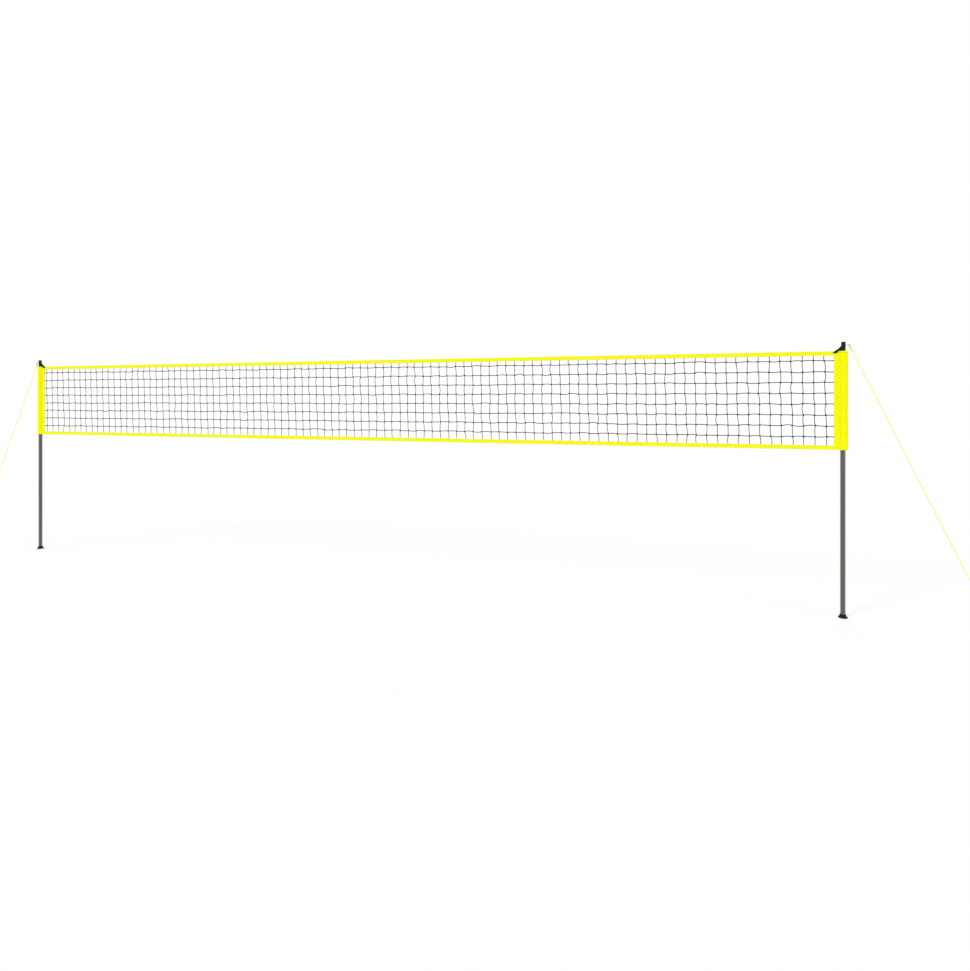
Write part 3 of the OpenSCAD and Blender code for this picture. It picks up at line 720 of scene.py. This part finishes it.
def snap_spring(side):
    """Bent strip inside the tube, with its near leg at the button and its far leg across from it.
    """
    node = f"{side}_snap_spring"
    x = abs(low(node).x + high(node).x) / 2 - POLE_X
    near, far = high(node).y - SPRING_HALF, low(node).y + SPRING_HALF
    middle, bend_r = (near + far) / 2, (near - far) / 2
    bend_z = low(node).z + bend_r + SPRING_HALF
    bend = [(x, middle + bend_r * math.cos(t), bend_z - bend_r * math.sin(t))
            for t in np.linspace(0, math.pi, 33)]
    path = finely([(x, near, high(node).z), *bend, (x, far, high(node).z)], FITTING_STEP)
    wide, thick = (high(node).x - low(node).x) / 2, SPRING_HALF
    in_wide, in_thick = wide - SPRING_EDGE, thick - SPRING_EDGE
    ring = np.array([(in_wide, -thick), (wide, -in_thick), (wide, in_thick), (in_wide, thick),
                     (-in_wide, thick), (-wide, in_thick), (-wide, -in_thick), (-in_wide, -thick)])
    strip = sweep(path, np.broadcast_to(ring, (len(path), *ring.shape)), first=(1, 0, 0))
    obj = piece(f"{side}_snap_spring_strip", [mirrored(side, strip)], SPRING, smooth=False)
    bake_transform(obj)
    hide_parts(node)


# -------- the net's own sway

SWAY = 5 * MM
SWAY_LENGTHS = (0.47, 0.83, 1.31, 2.6)
SWAY_FADE = 0.35        # it dies away over this length, at the sleeves
SWAY_RNG = np.random.default_rng(11)
SWAY_WAVES = [(length, SWAY_RNG.random()) for length in SWAY_LENGTHS]


def sway(x, z):
    """How far the netting stands out of its plane: nothing at its cords and its sleeves."""
    up = np.clip((z - NET_LOW) / NET_HEIGHT, 0, 1)
    near_end = np.clip((TAPE_END - np.abs(x)) / SWAY_FADE, 0, 1)
    wave = sum(np.sin(TAU * (x / length + phase)) for length, phase in SWAY_WAVES)
    return SWAY * wave / len(SWAY_WAVES) * np.sin(math.pi * up) * near_end


# -------- stitching

STITCH_PITCH = 8 * MM
STITCH_LENGTH = 5 * MM
STITCH_R = 0.45 * MM
STITCH_SINK = 0.6 * STITCH_R    # how far its ends are drawn into the cloth
# A stitch's corners: its two ends, and then one side, its top, the other side and its foot
STITCH_FACES = np.array([(0, 2, 3), (0, 3, 4), (0, 4, 5), (0, 5, 2),
                         (1, 3, 2), (1, 4, 3), (1, 5, 4), (1, 2, 5)])


def stitches(line, out):
    """Thread showing between the needle holes along a line of points; out is off the cloth."""
    out = unit(np.broadcast_to(out, line.shape).astype(float))
    ahead = unit(np.gradient(line, axis=0))
    side = np.cross(ahead, out)
    half, sunk = STITCH_LENGTH / 2 * ahead, STITCH_SINK * out
    corners = [line - half - sunk, line + half - sunk,
               line + STITCH_R * side, line + STITCH_R * out,
               line - STITCH_R * side, line - STITCH_R * out]
    points = np.stack(corners, axis=1)
    first = len(corners) * np.arange(len(line))[:, None, None]
    return points.reshape(-1, 3), [(STITCH_FACES[None] + first).reshape(-1, 3)]


# -------- tapes

CLOTH = 1.2 * MM
TAPE_STEP = 8 * MM
# Half thickness of the tape's middle surface at depths below its folded edge: it narrows
# below the cord, and steps out again where its hem is turned in
TAPE_DEPTHS = np.array([6, 10, 15, 23, 30.5, 31.5, 35, 39.4]) * MM
TAPE_HALVES = np.array([3.1, 2.7, 2.3, 2.25, 2.2, 2.65, 2.7, 2.6]) * MM
FOLD_TURNS = (0, 45, 90, 135, 180)              # degrees round the fold over the cord
STITCH_DEPTHS = (10 * MM, 34.5 * MM)
STITCH_INSET = 45 * MM                          # from the tape's ends to its stitching
HEM_WANDER, HEM_WAVES = 0.7 * MM, (0.19, 0.43, 0.9)
PUCKER, PUCKER_WAVES = 0.35 * MM, (0.026, 0.037, 0.071)
PUCKER_REACH = 7 * MM                           # from the hem's stitching


class Tape:
    """Cloth folded over a cord along one edge of the net. up is the way from the net's middle."""

    def __init__(self, name, edge, up, seed):
        self.name, self.edge, self.up = name, edge, up
        rng = np.random.default_rng(seed)
        self.x = np.linspace(-TAPE_END, TAPE_END, int(2 * TAPE_END / TAPE_STEP))
        self.hem = HEM_WANDER * ripple(self.x, HEM_WAVES, rng)
        self.pucker = {face: PUCKER * ripple(self.x, PUCKER_WAVES, rng) for face in (-1, 1)}

    def surface(self, x, depth, half, face):
        """Points at a depth from the folded edge, on the face towards -Y or +Y."""
        share = depth / TAPE_HEIGHT
        pulled = np.exp(-((depth - STITCH_DEPTHS[1]) / PUCKER_REACH) ** 2)
        pucker = np.interp(x, self.x, self.pucker[face]) * pulled
        z = self.edge - self.up * (depth + share * np.interp(x, self.x, self.hem))
        y = face * (half + pucker) + sway(x, z)
        return np.stack([x + 0 * z, y, z], axis=-1)

    def section(self):
        """Depth, half thickness and face at each point across, from hem to hem."""
        r = TAPE_HALF - CLOTH / 2
        rows = [(d, h, -1) for d, h in zip(TAPE_DEPTHS[::-1], TAPE_HALVES[::-1])]
        for turn in FOLD_TURNS:
            t = math.radians(turn)
            rows.append((TAPE_HALF - r * math.sin(t), r * abs(math.cos(t)), -1 if t < 2 else 1))
        return rows + [(d, h, 1) for d, h in zip(TAPE_DEPTHS, TAPE_HALVES)]

    def cloth_piece(self):
        rows = np.stack([self.surface(self.x, d, h, face) for d, h, face in self.section()], 1)
        faces = grid_faces(len(self.x), rows.shape[1], False)
        if self.up > 0:
            faces = faces[:, ::-1]
        across = np.array([run_along(row) for row in rows])
        cut = np.stack([rows[..., 0], across, 0 * across], axis=-1)
        skin = piece(f"{self.name}_cloth", [(rows.reshape(-1, 3), [faces])], TAPE_CLOTH,
                     "net_frame", cut=cut)
        thicken(skin, CLOTH)
        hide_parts(self.name)
        return skin

    def stitching(self):
        x = np.arange(-TAPE_END + STITCH_INSET, TAPE_END - STITCH_INSET, STITCH_PITCH)
        seams = []
        for depth in STITCH_DEPTHS:
            half = np.interp(depth, TAPE_DEPTHS, TAPE_HALVES) + CLOTH / 2
            for face in (-1, 1):
                seams.append(stitches(self.surface(x, depth, half, face), [0, face, 0]))
        return piece(f"{self.name}_stitching", seams, THREAD, "net_frame", smooth=False)

    def build(self):
        skin, thread = self.cloth_piece(), self.stitching()


CORD_SIDES = 12
CORD_STEP = 40 * MM
CORD_LAY = 8 * MM
CORD_LOOP_POINTS = 129


def sewn_cord(node):
    """The braided cord inside a tape, with its loop round each pole."""
    r = (high(node).z - low(node).z) / 2
    loop_r = high(node).y - r
    z = low(node).z + r
    turn = np.linspace(0, TAU, CORD_LOOP_POINTS)
    loop = np.stack([loop_r * np.cos(turn), loop_r * np.sin(turn), z + 0 * turn], axis=1)
    reach = POLE_X - loop_r
    parts = [round_tube(finely([(-reach, 0, z), (reach, 0, z)], CORD_STEP), r, CORD_SIDES)]
    for side in SIDES:
        parts.append(mirrored(side, braided(loop, r, sides=CORD_SIDES, lay=CORD_LAY)))
    cord = piece(f"{node}_braid", parts, TWINE, "net_frame")
    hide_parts(node)


# -------- side sleeves

HEM = 18 * MM
HEM_LIFT = 1.15 * MM        # the turned edge's middle surface, off the cloth's
SEAM_GAP = 2.1 * MM         # middle surface from the net's plane, where the twines are sewn in
TAPE_GAP = TAPE_HALF + 0.7 * MM
PRONG_CLEAR = 20 * MM       # the sleeve's sewn edge stops this far below the cap's prongs
SLEEVE_ROWS = 120
POCKET_EDGE = 38 * MM
PRONG_EDGE = POCKET_EDGE + 4 * MM
OUTER_GAP = 1 * MM          # half the gap between the two layers, outboard of the pocket
# How far out of the fold the last points of its two layers are, and half the gap there
FOLD_POINTS = ((1.5 * MM, 0.9 * MM), (0.3 * MM, 0.6 * MM))
# Places of the points across the sleeve, as shares of its margin and of its pocket's flanks
MARGIN_SHARES = (0, 0.2, 0.45, 0.7, 0.9)
INNER_SHARES = (0, 0.15, 0.4, 0.7)
OUTER_SHARES = (0.3, 0.6, 0.85, 1)
ROUND_POINTS = 19
# From and over which distance to the net's edge the gap opens, in tape heights
GAP_FROM, GAP_OVER = 1.25, 0.5

PUFF = 1.4 * MM             # how far the pocket's cloth stands off the pole
PUFF_MEAN = 1.2
PUFF_SLANT = 0.7            # the folds run up this much across
PUFF_ACROSS, PUFF_UP = (0.05, 0.083), (0.21, 0.37, 0.6)
PUFF_FADE = 12 * MM
EDGE_WANDER, EDGE_WAVES = 0.5 * MM, (0.13, 0.31)
SEAM_PLACES = (-SLEEVE_IN + 4 * MM, -POCKET_EDGE - 5 * MM, POCKET_EDGE + 1.5 * MM)
SEAM_TOP = 4 * MM           # from its end to the sleeve's top


def points_between(start, end, shares):
    """Points from start towards end, at these shares of the way."""
    start, end = np.array(start), np.array(end)
    return [tuple(start + t * (end - start)) for t in shares]


def sleeve_line(gap):
    """The middle surface round the pole at one height, from inboard edge to inboard edge.

    Straight margins lie a gap off the net's plane, and flanks run from them to the round."""
    r = SLEEVE_R - CLOTH / 2
    start = math.acos(r / POCKET_EDGE)
    arc = [(r * math.cos(t), r * math.sin(t))
           for t in np.linspace(math.pi - start, start, ROUND_POINTS)]
    corner = (-POCKET_EDGE, gap)
    upper = points_between((-SLEEVE_IN, gap), corner, MARGIN_SHARES)
    upper += points_between(corner, arc[0], INNER_SHARES)
    upper += arc
    upper += points_between(arc[-1], (POCKET_EDGE, OUTER_GAP), OUTER_SHARES)
    fold = SLEEVE_OUT - CLOTH / 2
    upper += [(fold - inset, half) for inset, half in FOLD_POINTS]
    lower = np.array(upper[::-1]) * [1, -1]
    return np.concatenate([upper, [[fold, 0]], lower])


def sleeve_gap(z):
    """Opens from the netting's thickness to the tape's, near the net's two edges."""
    from_edge = np.minimum(z - NET_LOW, NET_HIGH - z)
    near = np.clip((GAP_FROM * TAPE_HEIGHT - from_edge) / (GAP_OVER * TAPE_HEIGHT), 0, 1)
    return SEAM_GAP + (TAPE_GAP - SEAM_GAP) * near * near * (3 - 2 * near)


class Sleeve:
    """Cloth pocket round a pole, sewn to the net's end and the tapes."""

    def __init__(self, side, seed):
        self.side = side
        rng = np.random.default_rng(seed)
        self.share = np.linspace(0, 1, SLEEVE_ROWS)
        rows = [sleeve_line(sleeve_gap(z)) for z in NET_LOW + self.share * NET_HEIGHT]
        flat = np.array(rows)
        x = flat[..., 0]
        top = np.where(x < -PRONG_EDGE, NET_HIGH - PRONG_CLEAR, NET_HIGH)
        z = NET_LOW + self.share[:, None] * (top - NET_LOW)
        run = run_along(np.c_[flat[0], np.zeros(len(flat[0]))])[None]
        puff = PUFF * (PUFF_MEAN + ripple(run + PUFF_SLANT * z, PUFF_ACROSS, rng)
                       * ripple(z, PUFF_UP, rng))
        loose = np.clip((POCKET_EDGE - abs(x)) / PUFF_FADE, 0, 1)
        moved = flat + (puff * loose)[..., None] * unit(flat)
        edge = EDGE_WANDER * ripple(z, EDGE_WAVES, rng)
        moved[..., 0] += np.where(abs(x) > POCKET_EDGE, edge, 0)
        self.points = np.concatenate([moved, z[..., None]], axis=-1)
        self.cut = np.stack([run + 0 * z, z, 0 * z], axis=-1)

    def normals(self):
        """Outward normals of the surface, off the cloth."""
        across = np.gradient(self.points, axis=1)
        up = np.gradient(self.points, axis=0)
        return unit(np.cross(up, across))

    def cloth_piece(self, name, points, cut):
        rows, columns = points.shape[:2]
        part = points.reshape(-1, 3), [grid_faces(rows, columns, False)[:, ::-1]]
        obj = piece(name, [mirrored(self.side, part)], SLEEVE_CLOTH, "net_frame", cut=cut)
        thicken(obj, CLOTH)
        return obj

    def hem(self, top):
        """The turned edge at one end, lying on the cloth."""
        x = self.points[0, :, 0]
        inside = abs(x) < SLEEVE_OUT
        if top:
            inside &= x > -POCKET_EDGE
        rows = self.share >= 1 - HEM / NET_HEIGHT if top else self.share <= HEM / NET_HEIGHT
        lifted = self.points + self.normals() * HEM_LIFT
        name = f"{self.side}_sleeve_{'top' if top else 'bottom'}_hem"
        return self.cloth_piece(name, lifted[rows][:, inside], self.cut[rows][:, inside])

    def seam(self, column, normals):
        """The stitches up one column of the cloth's points."""
        line, out = self.points[:, column], normals[:, column]
        run = run_along(line)
        at = np.arange(HEM, run[-1] - SEAM_TOP, STITCH_PITCH)
        line = np.stack([np.interp(at, run, line[:, k]) for k in range(3)], 1)
        out = np.stack([np.interp(at, run, out[:, k]) for k in range(3)], 1)
        return stitches(line + unit(out) * CLOTH / 2, out)

    def seams(self):
        """Stitch lines up the margins and the fold, on both faces."""
        normals = self.normals()
        x = self.points[0, :, 0]
        half = len(x) // 2
        nearest = [int(np.argmin(abs(x[:half] - place))) for place in SEAM_PLACES]
        return [self.seam(column, normals) for n in nearest for column in (n, len(x) - 1 - n)]

    def build(self):
        skin = self.cloth_piece(f"{self.side}_sleeve_cloth", self.points, self.cut)
        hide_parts(f"{self.side}_sleeve")
        hems = [self.hem(True), self.hem(False)]
        thread = piece(f"{self.side}_sleeve_stitching",
                       [mirrored(self.side, p) for p in self.seams()], THREAD, "net_frame",
                       smooth=False)


# -------- netting

UPRIGHT_HALF_WIDTH = 3.2 * MM       # flat braids, wide way in the net's plane
ROW_HALF_WIDTH = 3.9 * MM
TWINE_HALF_THICKNESS = 1.6 * MM
COLUMNS = 100
FIRST_GAP, LAST_GAP = 0.45, 0.72    # from the sleeves to the first and last upright, in pitches
ROWS = 8
FIRST_ROW = 87 * MM
ROW_PITCH = 100.6 * MM
TUCK = 12 * MM                      # how far the netting reaches up into each tape
LEAN = 0.025                        # uprights lean this much towards +X going down
INTO_SLEEVE = 14 * MM
DRIFT, DRIFT_WAVES = 3 * MM, (0.9, 2.1, 3.7)        # how the uprights' places vary
SAG, SAG_WAVES = 1.5 * MM, (0.6, 1.7)               # how the rows' heights vary
KNOT_SHIFT_X, KNOT_SHIFT_Z = 3.0 * MM, 2.2 * MM     # how unevenly the mesh is knotted
UPRIGHT_BOW, ROW_BOW = 3.4 * MM, 3.0 * MM           # how far the twines bulge between knots
TWINE_STEPS = 7                                     # points from one knot to the next


def net_nodes():
    """Where the twines cross: (column, row) arrays of x and z, rows from the top edge down."""
    rng = np.random.default_rng(5)
    pitch = 2 * NET_END / (COLUMNS - 1 + FIRST_GAP + LAST_GAP)
    x = -NET_END + pitch * (FIRST_GAP + np.arange(COLUMNS))
    border = TAPE_HEIGHT - TUCK
    rows = [border, *(FIRST_ROW + ROW_PITCH * np.arange(ROWS)), NET_HEIGHT - border]
    z = NET_HIGH - np.array(rows)
    x = x[:, None] + LEAN * (NET_LOW + NET_HEIGHT / 2 - z)[None]
    drift = DRIFT * ripple(x[:, :1], DRIFT_WAVES, rng)
    x = x + drift + rng.normal(0, KNOT_SHIFT_X, x.shape)
    sag = SAG * ripple(x, SAG_WAVES, rng)
    z = z[None] + sag + rng.normal(0, KNOT_SHIFT_Z, x.shape)
    z[:, 0], z[:, -1] = NET_HIGH - border, NET_LOW + border
    return x, z


def in_net(x, z):
    return np.stack([x, sway(x, z), z], axis=-1)


def between(stops):
    """Places from each stop to the next in equal steps."""
    at = np.linspace(0, len(stops) - 1, TWINE_STEPS * (len(stops) - 1) + 1)
    return np.interp(at, np.arange(len(stops)), stops)


def bulges(spans, bow, rng):
    """How far a twine stands off the straight line in each span: nothing at its knots."""
    t = np.arange(TWINE_STEPS) / TWINE_STEPS
    out = rng.normal(0, bow, spans)[:, None] * np.sin(math.pi * t)
    return np.append(out.ravel(), 0)


def netting():
    """Uprights, rows with one along each tape, and a knot where they cross."""
    rng = np.random.default_rng(23)
    x, z = net_nodes()
    uprights, rows = [], []
    for column in range(COLUMNS):
        path_x = between(x[column]) + bulges(ROWS + 1, UPRIGHT_BOW, rng)
        path = in_net(path_x, between(z[column]))
        uprights.append(flat_braid(path, UPRIGHT_HALF_WIDTH, TWINE_HALF_THICKNESS))
    end = NET_END + INTO_SLEEVE
    for row in range(ROWS + 2):
        in_tape = row in (0, ROWS + 1)
        path_x = between([-end, *x[:, row], end])
        path_z = between([z[0, row], *z[:, row], z[-1, row]])
        path_z += bulges(COLUMNS + 1, 0 if in_tape else ROW_BOW, rng)
        rows.append(flat_braid(in_net(path_x, path_z), ROW_HALF_WIDTH, TWINE_HALF_THICKNESS))
    knotted = [knots(x[:, 1:-1], z[:, 1:-1], rng)]
    for name, parts in (("uprights", uprights), ("rows", rows), ("knots", knotted)):
        obj = piece(f"net_{name}", parts, TWINE, "net_frame")
        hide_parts("net_mesh")


KNOT_SIZE = 2.3 * MM
KNOT_TWINE_R = 3.1 * MM
KNOT_SIDES = 5
KNOT_POINTS = 18
KNOT_HALF_DEPTH = 1.3       # of the twine's line, in knot sizes


def drawn_up_knot():
    """A three-lobed overhand knot about the origin, flat way in the net's plane."""
    t = TAU * np.arange(KNOT_POINTS) / KNOT_POINTS
    reach = 2 + np.cos(3 * t)
    depth = -KNOT_HALF_DEPTH * np.sin(3 * t)
    line = np.stack([reach * np.cos(2 * t), depth, reach * np.sin(2 * t)], 1)
    line = np.concatenate([line, line[:1]]) * KNOT_SIZE
    return round_tube(line, KNOT_TWINE_R, KNOT_SIDES, ends=False)


def knots(x, z, rng):
    """A knot at each crossing, each turned its own way."""
    places = []
    for px, pz in zip(x.ravel(), z.ravel()):
        turn = rng.random() * TAU
        flip = 1 if rng.random() < 0.5 else -1
        c, s = math.cos(turn), math.sin(turn)
        matrix = np.array([[c, 0, s], [0, flip, 0], [-s * flip, 0, c * flip]])
        places.append((matrix, np.array([px, float(sway(px, pz)), pz])))
    return copies(drawn_up_knot(), places)


# -------- stage

FLOOR_HALF = 60.0
# Key, fill and back light: turn in degrees, strength, and how soft its shadows are in degrees
SUNS = [((52, 0, -38), 1.0, 12), ((60, 0, 60), 0.65, 40), ((60, 0, 170), 0.5, 40)]
AMBIENT = 0.575
PAPER = 0.9                 # how much light the floor returns
FLOOR_SHARE = 0.6           # how much of the floor is plain white to the camera
FLOOR_WHITE = 1.097         # makes up for the light that the rest of it doesn't return


def seen_directly(tree):
    """1 for what the camera, a reflection or clear glass shows, and 0 for the light itself."""
    path = add_node(tree, "ShaderNodeLightPath", {})
    total = path.outputs["Is Camera Ray"]
    for name in ("Is Glossy Ray", "Is Transmission Ray"):
        most = add_node(tree, "ShaderNodeMath", {0: total, 1: path.outputs[name]},
                        operation="MAXIMUM")
        total = most.outputs["Value"]
    return total


def add_world():
    world = bpy.data.worlds.new("studio")
    world.use_nodes = True
    tree = world.node_tree
    background = tree.nodes["Background"]
    background.inputs["Color"].default_value = (1, 1, 1, 1)
    level = add_node(tree, "ShaderNodeMapRange",
                     {"Value": seen_directly(tree), "To Min": AMBIENT, "To Max": 1.0})
    tree.links.new(level.outputs["Result"], background.inputs["Strength"])
    bpy.context.scene.world = world


def floor_material():
    """Plain white to the camera for the most part, and paper that takes shadows for the rest."""
    material = bpy.data.materials.new("floor")
    material.use_nodes = True
    tree = material.node_tree
    tree.nodes.remove(tree.nodes["Principled BSDF"])
    paper = add_node(tree, "ShaderNodeBsdfDiffuse", {"Color": (PAPER, PAPER, PAPER, 1)})
    white = add_node(tree, "ShaderNodeEmission", {"Strength": FLOOR_WHITE})
    share = add_node(tree, "ShaderNodeMath", {0: seen_directly(tree), 1: FLOOR_SHARE},
                     operation="MULTIPLY")
    mixed = add_node(tree, "ShaderNodeMixShader", {0: share.outputs["Value"],
                                                   1: paper.outputs["BSDF"],
                                                   2: white.outputs["Emission"]})
    tree.links.new(mixed.outputs["Shader"], tree.nodes["Material Output"].inputs["Surface"])
    return material


def add_floor():
    """White floor that shows the object's shadow faintly."""
    corners = [(-1, -1), (1, -1), (1, 1), (-1, 1)]
    points = [(FLOOR_HALF * x, FLOOR_HALF * y, 0) for x, y in corners]
    mesh = bpy.data.meshes.new("floor")
    mesh.from_pydata(points, [], [(0, 1, 2, 3)])
    mesh.materials.append(floor_material())
    new_object("floor", mesh)


def add_lights():
    for turn, strength, softness in SUNS:
        data = bpy.data.lights.new("sun", "SUN")
        data.energy = strength
        data.angle = math.radians(softness)
        new_object("sun", data).rotation_euler = [math.radians(a) for a in turn]


# -------- build

add_camera()
for end_name in SIDES:
    guy_rope(end_name)
    guy_tail(end_name)
    snap_spring(end_name)
dress_nodes()
netting()
sewn_cord("top_cord")
sewn_cord("bottom_cord")
Tape("top_tape", NET_HIGH, 1, 31).build()
Tape("bottom_tape", NET_LOW, -1, 37).build()
Sleeve("left", 41).build()
Sleeve("right", 43).build()
add_world()
add_floor()
add_lights()
bpy.context.scene.view_settings.view_transform = "Standard"
